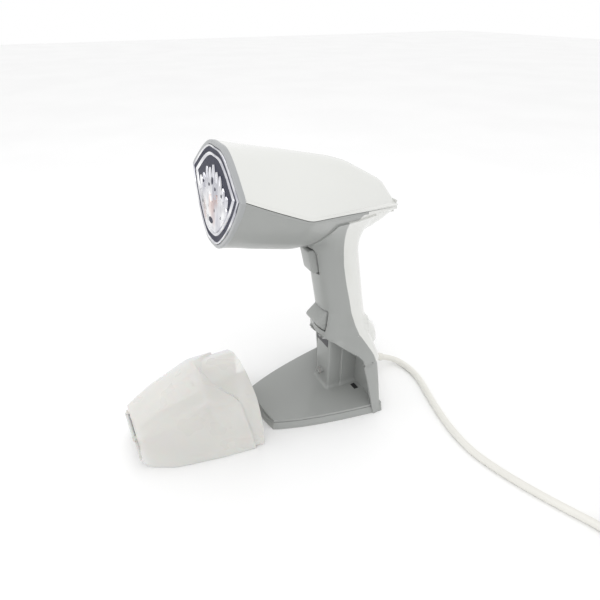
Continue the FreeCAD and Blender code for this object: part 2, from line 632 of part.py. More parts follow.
def tank_bodies():
    """The tank's skin as a lower tub and an upper hood."""
    before = slab(bay_front() + [(-FAR, FAR)], -FAR, FAR)
    fore, aft = tank_stations(), tank_stations(inner=True)
    outer = loft([tank_section(x, half) for x, half in fore]).common(before)
    rear = loft([tank_section(x, half) for x, half in aft])
    wall = size("tank_wall")
    hollow_fore = [(x + (wall if n == 0 else 0), half) for n, (x, half) in enumerate(fore)]
    hollow_aft = [(x - (wall if n == 2 else 0), half) for n, (x, half) in enumerate(aft)]
    cavity = loft([tank_section(x, half, wall) for x, half in hollow_fore])
    shift = [(x - wall, z) for x, z in bay_front()[:2]] + [(x - wall, z - wall) for x, z in bay_front()[2:]]
    cavity = cavity.common(slab(shift, -FAR, FAR))
    cavity = cavity.fuse(loft([tank_section(x, half, wall) for x, half in hollow_aft]))
    half = size("post_half") + size("spine_step") + size("slot_clear")
    slot = block((size("post_x") - 2.5, FAR), (-half, half), (-20, FAR))
    lining = block((size("post_x") - 2.5 - wall, FAR), (-half - wall, half + wall), (-20, FAR))
    body = outer.fuse(rear).cut(slot).cut(cavity.cut(lining))
    mouth = block((FRONT - 5, FRONT + 6), (-size("filler_half"), size("filler_half")),
                  (FILL_LOW, FILL_LOW + size("filler_tall")))
    valve = Part.makeCylinder(3.6, 12, V(size("post_x") - 12, 0, SPIGOT_Z), V(1, 0, 0))
    body = body.cut([mouth, valve])
    below = block((-FAR, FAR), (-FAR, FAR), (-20, SPLIT))
    return body.common(below), body.cut(below)


FILL_LOW, HINGE_Z = 26.0, size("tank_front_top") - 3.2
tub, hood = tank_bodies()
solid("tank_tub", tub, AWAY)
solid("tank_hood", hood, AWAY)
flap_x = FRONT - 0.3
flap = block((flap_x - size("flap_thick"), flap_x), (-size("flap_half"), size("flap_half")),
             (HINGE_Z - size("flap_tall") + 3, HINGE_Z - 1.6))
nose = block((flap_x, FRONT + 2.2), (-size("filler_half") + 0.5, size("filler_half") - 0.5),
             (FILL_LOW + 0.6, FILL_LOW + size("filler_tall") - 0.5))
knuckle = Part.makeCylinder(1.6, 30, V(flap_x - 1.9, -15, HINGE_Z), V(0, 1, 0))
web = block((flap_x - size("flap_thick"), flap_x - 0.2), (-15, 15), (HINGE_Z - 2, HINGE_Z))
bore = Part.makeCylinder(0.85, 60, V(flap_x - 1.9, -30, HINGE_Z), V(0, 1, 0))
notches = [block((flap_x - 5, flap_x + 2), (side * 17 - 2.3, side * 17 + 2.3), (HINGE_Z - 3.3, HINGE_Z))
           for side in (-1, 1)]
solid("filler_flap", flap.cut(notches).fuse([nose, knuckle, web]).cut(bore), AWAY)
ears = [block((flap_x - 3.4, FRONT), (side * 17 - 1.6, side * 17 + 1.6), (HINGE_Z - 1.6, HINGE_Z + 1.6))
        for side in (-1, 1)]
pin = Part.makeCylinder(0.8, 36, V(flap_x - 1.9, -18, HINGE_Z), V(0, 1, 0))
solid("flap_hinge", ears[0].fuse([ears[1], pin]), AWAY)
VALVE_X = size("post_x") - 2.5 - size("tank_wall")
housing = Part.makeCylinder(6, 12, V(VALVE_X - 12, 0, SPIGOT_Z), V(1, 0, 0)).cut(
    Part.makeCylinder(3.6, 12, V(VALVE_X - 10.5, 0, SPIGOT_Z), V(1, 0, 0)))
inlets = Part.makeCylinder(1.2, 30, V(VALVE_X - 8, 0, SPIGOT_Z - 15))
solid("valve_housing", housing.cut(inlets), AWAY)
solid("valve_poppet", Part.makeCylinder(3.3, 4.5, V(VALVE_X - 4, 0, SPIGOT_Z), V(1, 0, 0)), AWAY)
solid("valve_spring", Part.makeCylinder(2.9, 6.3, V(VALVE_X - 10.4, 0, SPIGOT_Z), V(1, 0, 0)).cut(
    Part.makeCylinder(2.1, 8, V(VALVE_X - 11, 0, SPIGOT_Z), V(1, 0, 0))), AWAY)

# --- cord ----------------------------------------------------------------------------
COIL = V(180, -297, 0)
TURN_R = size("coil_out") - CORD_R - 0.5
CORD_Z = CORD_R + 0.1
STUB = 27.0
CORD_ROUTE = [
    BOOT_END, BOOT_END + BOOT_LINE * 11.5, V(121.5, -8.5, 4.9), V(125.5, -28, CORD_Z), V(122.5, -47, CORD_Z),
    V(115.5, -68, CORD_Z), V(109, -89, CORD_Z), V(104, -110, CORD_Z), V(101, -131, CORD_Z),
    V(101, -151, CORD_Z), V(105.5, -172, CORD_Z), V(112, -193, CORD_Z), V(120, -214, CORD_Z),
    V(129, -235, CORD_Z), V(COIL.x - TURN_R, -254, CORD_Z), V(COIL.x - TURN_R, COIL.y + STUB, CORD_Z),
]
solid("mains_cord", pipe(CORD_ROUTE, CORD_R, 0))
tube = NODES["mains_cord"].Shape
wire = route_wire(CORD_ROUTE, show=True)
ideal = wire.Length * math.pi * CORD_R ** 2
print("cord mm", round(wire.Length), "volume ratio", round(tube.Volume / ideal, 4))
boot = tapered(BOOT_START - BOOT_LINE, BOOT_END, 6.2, 4.6)
collar = tapered(BOOT_START - BOOT_LINE * 4, BOOT_START - BOOT_LINE, 7.0, 7.0)
solid("cord_boot", boot.fuse(collar))
coil_ring = Part.makeCylinder(size("coil_out"), size("coil_tall"), COIL + V(0, 0, 1.1)).cut(
    Part.makeCylinder(size("coil_in"), 60, COIL - V(0, 0, 9)))
stubs = [Part.makeCylinder(CORD_R, STUB, COIL + V(-TURN_R, STUB, CORD_Z), V(0, -1, 0)),
         Part.makeCylinder(CORD_R, STUB, COIL + V(TURN_R, 0, CORD_Z), V(0, 1, 0))]
solid("cord_coil", coil_ring.fuse(stubs))
outer = block((COIL.x - 6, COIL.x + 6), (COIL.y - size("coil_out") - 1.2, COIL.y - size("coil_in") + 1.9),
              (0, size("coil_tall") + 2.2))
inner = block((COIL.x - 7, COIL.x + 7), (COIL.y - size("coil_out") - 0.1, COIL.y - size("coil_in") + 0.8),
              (1.0, size("coil_tall") + 1.2))
solid("cord_tie", outer.cut(inner))
plug_y = COIL.y + STUB
plug = tapered(V(COIL.x + TURN_R, plug_y - 1, 4.2), V(COIL.x + TURN_R, plug_y + 14, 8.0), 4.2, 7.0)
grip_block = block((COIL.x + TURN_R - 11, COIL.x + TURN_R + 11), (plug_y + 12, plug_y + 34), (0.0, 16.0))
solid("plug_body", plug.fuse(grip_block).cut(block((0, FAR), (-FAR, plug_y), (-9, 40))))
solid("plug_pins", Part.makeCompound([
    block((COIL.x + TURN_R + side * 6.35 - 0.75, COIL.x + TURN_R + side * 6.35 + 0.75),
          (plug_y + 34, plug_y + 51), (4.8, 11.2)) for side in (-1, 1)]))


def check_and_write():
    """Every object recomputed and sound, every piece one or more valid closed solids."""
    doc.recompute()
    for item in doc.Objects:
        if {"Invalid", "Error"} & set(item.State):
            raise RuntimeError(f"{item.Label} failed: {item.State}")
    os.makedirs("parts", exist_ok=True)
    for name, item in NODES.items():
        shape = item.Shape
        if shape.isNull() or not shape.isValid() or not shape.Solids:
            raise RuntimeError(f"{name} has no valid shape")
        if len(shape.Solids) > 1:
            print("several solids in", name, [round(piece.Volume) for piece in shape.Solids])
        shape.exportStep(f"parts/{name}.step")
    print(len(NODES), "pieces")


check_and_write()
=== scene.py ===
"""The looks of a hand-held garment steamer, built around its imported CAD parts.

Shapes are worked out in millimetres, in the frame of the CAD, and turned into metres
when a piece is made. +Z is up, the nozzle faces -X and the cord leaves at +X.
"""
import json
import math
import bmesh
import bpy
from mathutils import Matrix, Vector


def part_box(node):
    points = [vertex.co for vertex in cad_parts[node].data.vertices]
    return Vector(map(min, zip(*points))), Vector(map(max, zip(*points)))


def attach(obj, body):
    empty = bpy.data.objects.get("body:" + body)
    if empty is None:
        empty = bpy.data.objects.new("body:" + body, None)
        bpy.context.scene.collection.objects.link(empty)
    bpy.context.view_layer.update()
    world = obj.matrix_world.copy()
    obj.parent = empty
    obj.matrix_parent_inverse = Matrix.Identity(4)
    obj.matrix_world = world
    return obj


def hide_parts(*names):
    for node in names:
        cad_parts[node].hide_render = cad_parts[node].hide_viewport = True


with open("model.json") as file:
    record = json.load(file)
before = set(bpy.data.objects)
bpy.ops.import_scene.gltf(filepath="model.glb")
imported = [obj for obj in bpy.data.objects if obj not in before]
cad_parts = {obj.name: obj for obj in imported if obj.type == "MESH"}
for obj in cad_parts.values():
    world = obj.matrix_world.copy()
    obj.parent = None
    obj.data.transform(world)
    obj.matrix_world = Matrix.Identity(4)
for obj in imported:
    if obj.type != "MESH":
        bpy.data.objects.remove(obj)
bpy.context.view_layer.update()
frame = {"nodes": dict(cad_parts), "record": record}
MM = 0.001


def corner(node, high=False):
    """A CAD node's lowest or highest corner in millimetres."""
    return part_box(node)[1 if high else 0] / MM


# --- camera --------------------------------------------------------------------------

def add_camera():
    eye, target = Vector((-186.9, -335.9, 368.5)) * MM, Vector((-9.0, 0.0, 126.2)) * MM
    camera = bpy.data.objects.new("camera", bpy.data.cameras.new("camera"))
    camera.data.lens, camera.data.sensor_width = 27.97, 36
    camera.location = eye
    camera.rotation_euler = (target - eye).to_track_quat("-Z", "Y").to_euler()
    bpy.context.scene.collection.objects.link(camera)
    bpy.context.scene.camera = camera


add_camera()


# --- materials -----------------------------------------------------------------------

class Value:
    """An output socket of a material."""

    def __init__(self, look, socket):
        self.look, self.socket = look, socket

    def band(self, low, high, start=0.0, end=1.0):
        """start below low, end above high, a smooth step between."""
        return self.look.node("MapRange", {"Value": self, "From Min": low, "From Max": high,
                                           "To Min": start, "To Max": end},
                              interpolation_type="SMOOTHSTEP")


class Look:
    """A procedural material: a Principled shader and the nodes that feed it."""

    def __init__(self, name, **fixed):
        self.mat = bpy.data.materials.new(name)
        self.mat.use_nodes = True
        self.tree = self.mat.node_tree
        self.shader = self.tree.nodes["Principled BSDF"]
        for key, value in fixed.items():
            self.shader.inputs[key.replace("_", " ").title().replace("Ior", "IOR")].default_value = value

    def node(self, kind, inputs, out=0, **settings):
        made = self.tree.nodes.new("ShaderNode" + kind)
        for key, value in settings.items():
            setattr(made, key, value)
        for key, value in inputs.items():
            if isinstance(value, Value):
                self.tree.links.new(value.socket, made.inputs[key])
            else:
                made.inputs[key].default_value = value
        return Value(self, made.outputs[out])

    def place(self):
        """Where the shaded point is, in metres."""
        return self.node("TexCoord", {}, out=3)

    def noise(self, scale, detail=2.0, stretch=(1, 1, 1)):
        point = self.node("Mapping", {"Vector": self.place(), "Scale": stretch})
        return self.node("TexNoise", {"Vector": point, "Scale": scale, "Detail": detail})

    def blend(self, amount, first, second):
        """first where amount is 0, second where it is 1; both are colours."""
        ends = [(*c, 1.0) if isinstance(c, tuple) else c for c in (first, second)]
        return self.node("Mix", {0: amount, 6: ends[0], 7: ends[1]}, out=2, data_type="RGBA")

    def feed(self, **varying):
        for key, value in varying.items():
            self.tree.links.new(value.socket, self.shader.inputs[key.replace("_", " ").title()])
        return self

    def bump(self, height, depth, strength=1.0):
        made = self.node("Bump", {"Strength": strength, "Distance": depth * MM, "Height": height})
        return self.feed(Normal=made)

    def facing(self):
        return self.node("LayerWeight", {"Blend": 0.35}, out=1)


def moulded(name, colour, rough, coat=0.0, mottle=0.03, grain=0.02):
    """Moulded plastic: a slow drift of colour, a fine moulded grain and a little handling wear."""
    look = Look(name, coat_weight=coat, coat_roughness=0.06, ior=1.47)
    drift = look.noise(9.0, 2.0)
    light = tuple(min(c * (1 + mottle), 1) for c in colour)
    dark = tuple(c * (1 - mottle) for c in colour)
    look.feed(base_color=look.blend(drift.band(0.3, 0.7), dark, light))
    look.feed(roughness=look.noise(38.0, 3.0).band(0.3, 0.75, rough * 0.86, rough * 1.16))
    return look.bump(look.noise(1500.0, 2.0), grain)


def cast(name, colour, rough, metal=1.0, grain=0.12, scale=420.0):
    """Bare metal with a grain."""
    look = Look(name, metallic=metal)
    patch = look.noise(60.0, 3.0)
    dark = tuple(c * 0.82 for c in colour)
    look.feed(base_color=look.blend(patch.band(0.35, 0.7), dark, colour))
    look.feed(roughness=patch.band(0.3, 0.7, rough * 0.8, rough * 1.25))
    return look.bump(look.noise(scale, 3.0), grain)


def milky(name, colour, edge, alpha):
    """Milky see-through plastic that is denser and cooler where it is seen edge on."""
    look = Look(name, coat_weight=0.5, coat_roughness=0.08, ior=1.45, subsurface_weight=0.12,
                subsurface_scale=0.01)
    tint = look.blend(look.noise(14.0, 2.0).band(0.3, 0.7), colour, tuple(c * 0.965 for c in colour))
    look.feed(base_color=look.blend(look.facing().band(0.35, 0.95), tint, edge))
    look.feed(alpha=look.facing().band(0.1, 0.8, alpha, 0.97))
    look.feed(roughness=look.noise(30.0, 2.0).band(0.3, 0.7, 0.26, 0.36))
    return look.bump(look.noise(55.0, 2.0), 0.12, 0.5)


def polished(name, warm):
    """The mirror-bright nozzle plate, with the faint swirl of its polishing and warm patches."""
    look = Look(name, metallic=1.0)
    swirl = look.noise(70.0, 3.0, (1, 1, 0.25))
    silver = look.blend(swirl.band(0.35, 0.65), (0.52, 0.52, 0.57), (0.90, 0.90, 0.91))
    patch = look.noise(42.0, 2.0, (1, 1, 0.6))
    look.feed(base_color=look.blend(patch.band(0.5, 0.64, 0.0, warm), silver, (0.60, 0.34, 0.26)))
    look.feed(roughness=look.noise(220.0, 2.0).band(0.3, 0.7, 0.06, 0.15))
    return look.bump(look.noise(34.0, 2.0), 1.4, 1.0)


WHITE, GRAY = (0.71, 0.715, 0.69), (0.33, 0.34, 0.33)
LOOKS = {
    "white_shell": moulded("white_shell", WHITE, 0.22, coat=0.7, mottle=0.012, grain=0.006),
    "gray_shell": moulded("gray_shell", GRAY, 0.34, coat=0.25, mottle=0.03, grain=0.012),
    "bezel_gray": moulded("bezel_gray", (0.36, 0.37, 0.375), 0.36, coat=0.2),
    "polished_plate": polished("polished_plate", 0.0),
    "seal_silicone": moulded("seal_silicone", (0.30, 0.29, 0.28), 0.6),
    "cast_metal": cast("cast_metal", (0.62, 0.62, 0.63), 0.45, grain=0.3, scale=900.0),
    "sheath_metal": cast("sheath_metal", (0.36, 0.33, 0.30), 0.4),
    "steel": cast("steel", (0.66, 0.66, 0.67), 0.25, grain=0.02),
    "brass": cast("brass", (0.78, 0.58, 0.28), 0.28, grain=0.03),
    "black_plastic": moulded("black_plastic", (0.02, 0.02, 0.022), 0.45),
    "dark_plastic": moulded("dark_plastic", (0.10, 0.10, 0.105), 0.5),
    "inner_white": moulded("inner_white", (0.70, 0.70, 0.67), 0.45),
    "hose_silicone": moulded("hose_silicone", (0.72, 0.70, 0.62), 0.4, coat=0.3),
    "winding_copper": cast("winding_copper", (0.72, 0.33, 0.16), 0.35, grain=0.5, scale=1600.0),
    "board_green": moulded("board_green", (0.03, 0.17, 0.07), 0.35, coat=0.4),
    "pad_rubber": moulded("pad_rubber", (0.03, 0.03, 0.03), 0.8, grain=0.1),
    "tank_clear": milky("tank_clear", (0.78, 0.77, 0.735), (0.60, 0.60, 0.64), 0.70),
    "flap_clear": milky("flap_clear", (0.80, 0.79, 0.76), (0.55, 0.55, 0.60), 0.75),
    "cord_white": moulded("cord_white", (0.76, 0.75, 0.705), 0.42, coat=0.15, grain=0.03),
    "tie_black": moulded("tie_black", (0.02, 0.02, 0.02), 0.7),
}
# Near-black navy for the nozzle's band and field; the same material is painted shade on the steam outlets,
# dark discs that stand in for the shadowed holes.
NAVY_AND_HOLE_SHADE = moulded("navy_band_and_hole_shade", (0.010, 0.012, 0.035), 0.3, coat=0.0)
NAVY_AND_HOLE_SHADE.shader.inputs["Specular IOR Level"].default_value = 0.12
COPPER = polished("plate_copper", 0.45)


def dress_cad_nodes():
    """Every CAD node takes the look of its own material slot."""
    slots = {row["node"]: row["material_slot"] for row in frame["record"]["subparts"]}
    for name, node in frame["nodes"].items():
        node.data.materials.clear()
        node.data.materials.append(LOOKS[slots[name]].mat)


dress_cad_nodes()


# --- mesh helpers --------------------------------------------------------------------

def bezier(a, b, c, t):
    return a.lerp(b, t).lerp(b.lerp(c, t), t)


def rounded(points, reach=0.45, per=5):
    """The open line through points, each corner a curve that starts reach of a run away."""
    line = [points[0]]
    for before, point, after in zip(points, points[1:], points[2:]):
        first, last = point.lerp(before, reach), point.lerp(after, reach)
        line += [bezier(first, point, last, step / per) for step in range(per + 1)]
    return line + [points[-1]]


def along(pairs, at):
    """A broken line through (key, value) pairs with rising keys, straight on past both ends."""
    last = len(pairs) - 2
    n = next((n for n in range(last) if at <= pairs[n + 1][0]), last)
    (a, low), (b, high) = pairs[n], pairs[n + 1]
    return low + (high - low) * (at - a) / (b - a)


def table(rows, at, soft):
    """Every column of a table of rows, read at its first column, with corners rounded by soft."""
    out = []
    for column in range(1, len(rows[0])):
        pairs = [(row[0], row[column]) for row in rows]
        out.append(sum(along(pairs, at + soft * step / 3) for step in range(-3, 4)) / 7)
    return out


def straight(pairs, at):
    """A broken line through (key, value) pairs, level past both ends."""
    return along(pairs, min(max(at, pairs[0][0]), pairs[-1][0]))


def resample(points, count):
    """count points a same distance apart along the line through points."""
    far = [0.0]
    for a, b in zip(points, points[1:]):
        far.append(far[-1] + (b - a).length)
    out, n = [], 0
    for step in range(count):
        goal = far[-1] * step / (count - 1)
        while n < len(far) - 2 and far[n + 1] < goal:
            n += 1
        share = (goal - far[n]) / max(far[n + 1] - far[n], 1e-9)
        out.append(points[n].lerp(points[n + 1], share))
    return out


def grid(rows, closed=False, mesh=None):
    """A sheet through rows of points; every row has the same number of points."""
    mesh = mesh or bmesh.new()
    made = [[mesh.verts.new(point) for point in row] for row in rows]
    width = len(rows[0])
    for a, b in zip(made, made[1:]):
        for n in range(width if closed else width - 1):
            mesh.faces.new((a[n], a[(n + 1) % width], b[(n + 1) % width], b[n]))
    return mesh


def weld(mesh, near=0.02):
    bmesh.ops.remove_doubles(mesh, verts=mesh.verts, dist=near)
    bmesh.ops.dissolve_degenerate(mesh, edges=mesh.edges, dist=near)


def outward(mesh, middle):
    """Turns every face of an open sheet the same way, away from middle."""
    bmesh.ops.recalc_face_normals(mesh, faces=mesh.faces)
    score = sum(face.normal.dot(face.calc_center_median() - middle) * face.calc_area()
                for face in mesh.faces)
    if score < 0:
        bmesh.ops.reverse_faces(mesh, faces=mesh.faces)


def make_piece(name, mesh, body, slot, replaces=(), sharp=35, look=None):
    """Turns a mesh in millimetres into a piece that rides on a body."""
    bmesh.ops.scale(mesh, vec=(MM, MM, MM), verts=mesh.verts)
    mesh.normal_update()
    for face in mesh.faces:
        face.smooth = True
    for edge in mesh.edges:
        if len(edge.link_faces) == 2 and edge.calc_face_angle(0) > math.radians(sharp):
            edge.smooth = False
    data = bpy.data.meshes.new(name)
    mesh.to_mesh(data)
    mesh.free()
    piece = bpy.data.objects.new(name, data)
    bpy.context.scene.collection.objects.link(piece)
    data.materials.append((look or LOOKS[slot]).mat)
    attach(piece, body)
    if replaces:
        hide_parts(*replaces)
    return piece


def thicken(mesh, depth):
    """Gives an open sheet a wall, inwards from its outer face."""
    mesh.normal_update()
    bmesh.ops.solidify(mesh, geom=mesh.faces[:], thickness=depth)
    bmesh.ops.recalc_face_normals(mesh, faces=mesh.faces)


def window(mesh, half, low, high, rear):
    """Opens a window in a sheet, within half of the middle plane and before rear."""
    planes = [((0, half, 0), (0, 1, 0)), ((0, -half, 0), (0, 1, 0)),
              ((0, 0, low), (0, 0, 1)), ((0, 0, high), (0, 0, 1))]
    for place, normal in planes:
        bmesh.ops.bisect_plane(mesh, geom=mesh.verts[:] + mesh.edges[:] + mesh.faces[:], dist=0.001,
                               plane_co=place, plane_no=normal)
    inside = []
    for face in mesh.faces:
        middle = face.calc_center_median()
        if middle.x < rear and abs(middle.y) < half and low < middle.z < high:
            inside.append(face)
    bmesh.ops.delete(mesh, geom=inside, context="FACES")


def side_block(outline, half, soft):
    """An outline in x and z carried across the middle plane, with softened edges."""
    mesh = bmesh.new()
    face = mesh.faces.new([mesh.verts.new((x, -half, z)) for x, z in outline])
    made = bmesh.ops.extrude_face_region(mesh, geom=[face])["geom"]
    verts = [item for item in made if isinstance(item, bmesh.types.BMVert)]
    bmesh.ops.translate(mesh, vec=(0, 2 * half, 0), verts=verts)
    bmesh.ops.recalc_face_normals(mesh, faces=mesh.faces)
    bmesh.ops.bevel(mesh, geom=mesh.edges[:], offset=soft, segments=3, profile=0.5, affect="EDGES",
                    clamp_overlap=True)
    return mesh


# --- cord ----------------------------------------------------------------------------

CORD_R = 3.5
FLOOR_Z = CORD_R + 0.1
BOOT_START, BOOT_END = Vector((74, 0, 26)), Vector((100.7, 0, 13.4))
BOOT_LINE = (BOOT_END - BOOT_START).normalized()
COIL = Vector((180, -297, 0))
COIL_OUT, COIL_IN = 42.0, 34.6
LEVELS = [FLOOR_Z + 7.2 * step for step in range(4)]
ROUTE = [
    BOOT_END, BOOT_END + BOOT_LINE * 11.5, Vector((121.5, -8.5, 4.9)), Vector((125.5, -28, FLOOR_Z)),
    Vector((122.5, -47, FLOOR_Z)), Vector((115.5, -68, FLOOR_Z)), Vector((109, -89, FLOOR_Z)),
    Vector((104, -110, FLOOR_Z)), Vector((101, -131, FLOOR_Z)), Vector((101, -151, FLOOR_Z)),
    Vector((105.5, -172, FLOOR_Z)), Vector((112, -193, FLOOR_Z)), Vector((120, -214, FLOOR_Z)),
    Vector((129, -235, FLOOR_Z)), Vector((138, -254, FLOOR_Z)), Vector((138, -272, FLOOR_Z)),
]
# turns wound so far, radius and height of the wound cord
WINDING = [
    (0.0, COIL_OUT, LEVELS[0]), (0.25, COIL_IN, LEVELS[0]), (0.85, COIL_IN, LEVELS[0]),
    (1.05, COIL_IN, LEVELS[1]), (1.80, COIL_IN, LEVELS[1]), (1.98, COIL_IN, LEVELS[2]),
    (2.72, COIL_IN, LEVELS[2]), (2.90, COIL_IN, LEVELS[3]), (3.64, COIL_IN, LEVELS[3]),
    (3.82, COIL_OUT, LEVELS[3]), (4.56, COIL_OUT, LEVELS[3]), (4.76, COIL_OUT, LEVELS[2]),
    (5.46, COIL_OUT, LEVELS[2]), (5.66, COIL_OUT, LEVELS[1]), (6.25, COIL_OUT, LEVELS[1]),
    (6.44, COIL_OUT, LEVELS[0]), (6.50, COIL_OUT, LEVELS[0]),
]
STEPS = 16


def coil_points():
    points = []
    for step in range(int(WINDING[-1][0] * STEPS) + 1):
        radius, height = table(WINDING, step / STEPS, 0.05)
        turn = math.pi + math.tau * step / STEPS
        radius *= 1.012
        points.append(COIL + Vector((radius * math.cos(turn), radius * math.sin(turn), height)))
    return points


def make_cord():
    curve = bpy.data.curves.new("cord", "CURVE")
    curve.dimensions, curve.bevel_depth, curve.bevel_resolution = "3D", CORD_R * MM, 5
    curve.use_fill_caps = True
    curve.resolution_u = 6
    points = ROUTE + coil_points() + [COIL + Vector((COIL_OUT, y, FLOOR_Z)) for y in (14, 27)]
    spline = curve.splines.new("NURBS")
    spline.points.add(len(points) - 1)
    for control, point in zip(spline.points, points):
        control.co = (*(point * MM), 1)
    spline.order_u = 3
    spline.use_endpoint_u = True
    piece = bpy.data.objects.new("cord", curve)
    bpy.context.scene.collection.objects.link(piece)
    curve.materials.append(LOOKS["cord_white"].mat)
    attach(piece, "steamer")
    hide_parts("mains_cord", "cord_coil")
    return piece


def make_boot():
    """The ribbed strain relief where the cord leaves the housing."""
    profile = [(-4.0, 5.4), (-4.0, 6.4), (-3.2, 7.0), (-1.0, 7.0), (-0.4, 6.2), (3.0, 6.1)]
    ribs, first, last = 7, 4.0, 28.0
    for rib in range(ribs):
        here = first + (last - first) * rib / ribs
        pitch = (last - first) / ribs
        radius = 6.0 - 1.35 * (rib + 1) / ribs
        profile += [(here + 0.2, radius), (here + pitch * 0.55, radius - 0.1),
                    (here + pitch * 0.62, radius - 0.75), (here + pitch * 0.95, radius - 0.8)]
    profile += [(28.6, 4.5), (29.5, 4.1), (29.5, 3.45)]
    side = BOOT_LINE.orthogonal().normalized()
    mesh = bmesh.new()
    chain = [mesh.verts.new(BOOT_START + BOOT_LINE * x + side * r) for x, r in profile]
    edges = [mesh.edges.new(pair) for pair in zip(chain, chain[1:])]
    bmesh.ops.spin(mesh, geom=chain + edges, cent=BOOT_START, axis=BOOT_LINE, angle=math.tau, steps=40,
                   use_merge=True)
    weld(mesh)
    bmesh.ops.recalc_face_normals(mesh, faces=mesh.faces)
    return make_piece("cord_boot_ribbed", mesh, "steamer", "cord_white", ["cord_boot"], sharp=50)


cord = make_cord()
boot = make_boot()


# --- head ----------------------------------------------------------------------------

FACE = Vector((-83.4, 0, 255.7))
BEZEL_DEEP = 5.0
TILT = math.radians(7.6)
# x, lean, half width, waist z, crease y, crease z, crown z, belly z
HEAD = [
    (-78.4, 0.133, 54.9, 254.4, 25.0, 278.2, 282.2, 203.0),
    (-28.5, 0.020, 57.8, 232.2, 16.0, 267.2, 272.6, 190.4),
    (15.6, 0.0, 37.8, 222.1, 14.2, 251.4, 261.8, 187.0),
    (34.0, 0.0, 29.7, 217.8, 13.0, 243.8, 255.3, 186.2),
    (74.0, 0.0, 11.9, 208.4, 3.6, 229.8, 232.4, 191.9),
    (95.2, 0.0, 2.5, 203.4, 1.2, 204.8, 205.4, 201.8),
]
FRONT_X, TIP_X = HEAD[0][0], HEAD[-1][0]
BELLY_POWER = 2.3
BLEND_X = -58.0


def spread(low, high, count):
    return [low + (high - low) * n / (count - 1) for n in range(count)]


UPPER_FACE = [(0, 24.2), (13, 24.4), (27, 17.6), (50.9, -0.9)]
LOWER_FACE = [(50.9, -0.9), (44.5, -14), (32.5, -31), (13, -48.6), (0, -49.2)]


FACE_MIDDLE, FACE_REACH = -8.0, 42.0


def face_line(grow=0.0, count=41):
    """Half of the nozzle's outline, in its own y and z, from its top to its foot."""
    shrink = 1 + min(grow, 0) / FACE_REACH
    upper, lower = ([Vector((0, y * shrink, FACE_MIDDLE + (z - FACE_MIDDLE) * shrink)) for y, z in points]
                    for points in (UPPER_FACE, LOWER_FACE))
    grow = max(grow, 0)
    line = resample(rounded(upper), count // 2 + 1) + resample(rounded(lower), count - count // 2)[1:]
    out = []
    for n, point in enumerate(line):
        before, after = line[max(n - 1, 0)], line[min(n + 1, len(line) - 1)]
        run = (after - before).normalized()
        if n in (0, len(line) - 1):
            run = Vector((0, 1 if n == 0 else -1, 0))
        out.append(point + Vector((0, -run.z, run.y)) * grow)
    return out


def on_face(depth, point):
    """A point of the nozzle, a depth behind its face, in the frame of the CAD."""
    return FACE + Matrix.Rotation(TILT, 3, "Y") @ Vector((depth, point.y, point.z))


def belly_z(x, y):
    """The height of the head's underside."""
    _, half, middle, _, _, _, belly = table(HEAD, x, 4.0)
    share = min(abs(y) / half, 1)
    return middle - (middle - belly) * (1 - share ** BELLY_POWER)


def roof_row(x, count=21):
    """Half of the upper outline of the head at x, from the waist up to the crown."""
    lean, half, middle, crease_y, crease_z, crown, _ = table(HEAD, x, 4.0)
    bulge = 1.2 * min(half / 50, 1)
    points = [(half, middle), ((half + crease_y) / 2 + bulge * 0.6, (middle + crease_z) / 2 + bulge),
              (crease_y, crease_z), (crease_y * 0.45, crown - (crown - crease_z) * 0.16), (0, crown)]
    line = resample(rounded([Vector((x, y, z)) for y, z in points], 0.36), count)
    return [Vector((p.x + lean * (p.z - FACE.z), p.y, p.z)) for p in line]


# height and x of the seam between the gray shell and the white cover, under the head
NECK_SEAM = [(180, 24.5), (196, 26.0), (203, 29.5), (209, 34.0), (213, 40.0), (215.5, 48.0)]


def belly_point(x, share):
    """A point of the head's underside: share is 0 at the waist and 1 in the middle."""
    lean, half, middle, _, _, _, belly = table(HEAD, x, 4.0)
    z = middle - (middle - belly) * (1 - (1 - share) ** BELLY_POWER)
    return Vector((x + lean * (z - FACE.z), half * (1 - share), z))


def belly_line(share, front, columns):
    """One line of the underside from front to rear, on one side of the seam."""
    seam = 30.0
    for _ in range(12):
        seam = (seam + straight(NECK_SEAM, belly_point(seam, share).z)) / 2
    low, high = (FRONT_X, seam) if front else (seam + 0.3, TIP_X)
    return [belly_point(x, share) for x in spread(low, high, columns)]


def to_bezel(rows, upper):
    """Lets the first rows of the head run into the outline of the nozzle's rim."""
    line = face_line(3.2)
    half = len(line) // 2
    edge = list(reversed(line[:half + 1])) if upper else line[half:]
    edge = [on_face(BEZEL_DEEP, p) for p in resample(edge, len(rows[0]))]
    gaps = [Vector((0, e.y - p.y, e.z - p.z)) for p, e in zip(rows[0], edge)]
    out = []
    for row in rows:
        share = min(max((row[0].x - BLEND_X) / (FRONT_X - BLEND_X), 0), 1)
        out.append([p + gap * share for p, gap in zip(row, gaps)])
    return out


def whole(row):
    """A row with its mirror image, from the near edge to the far one."""
    return [Vector((p.x, -p.y, p.z)) for p in row] + [Vector(p) for p in reversed(row[:-1])]


def lipped(row, depth=0.5):
    """A row whose two ends roll in a little, so that the seam reads as a groove."""
    middle = sum(row, Vector()) / len(row)
    first, last = row[0], row[-1]
    inner = [(p + (middle - p).normalized() * depth) for p in (first, last)]
    drop = [first.lerp(row[1], 0.12), last.lerp(row[-2], 0.12)]
    return [inner[0], drop[0]] + row[1:-1] + [drop[1], inner[1]]


def make_head():
    columns = [FRONT_X + (TIP_X - FRONT_X) * (n / 54) for n in range(55)]
    rows = [lipped(whole(row)) for row in to_bezel([roof_row(x) for x in columns], True)]
    mesh = grid(rows)
    weld(mesh)
    outward(mesh, Vector((0, 0, 225)))
    thicken(mesh, 2.2)
    make_piece("head_top", mesh, "steamer", "white_shell", ["top_cover"], sharp=50)


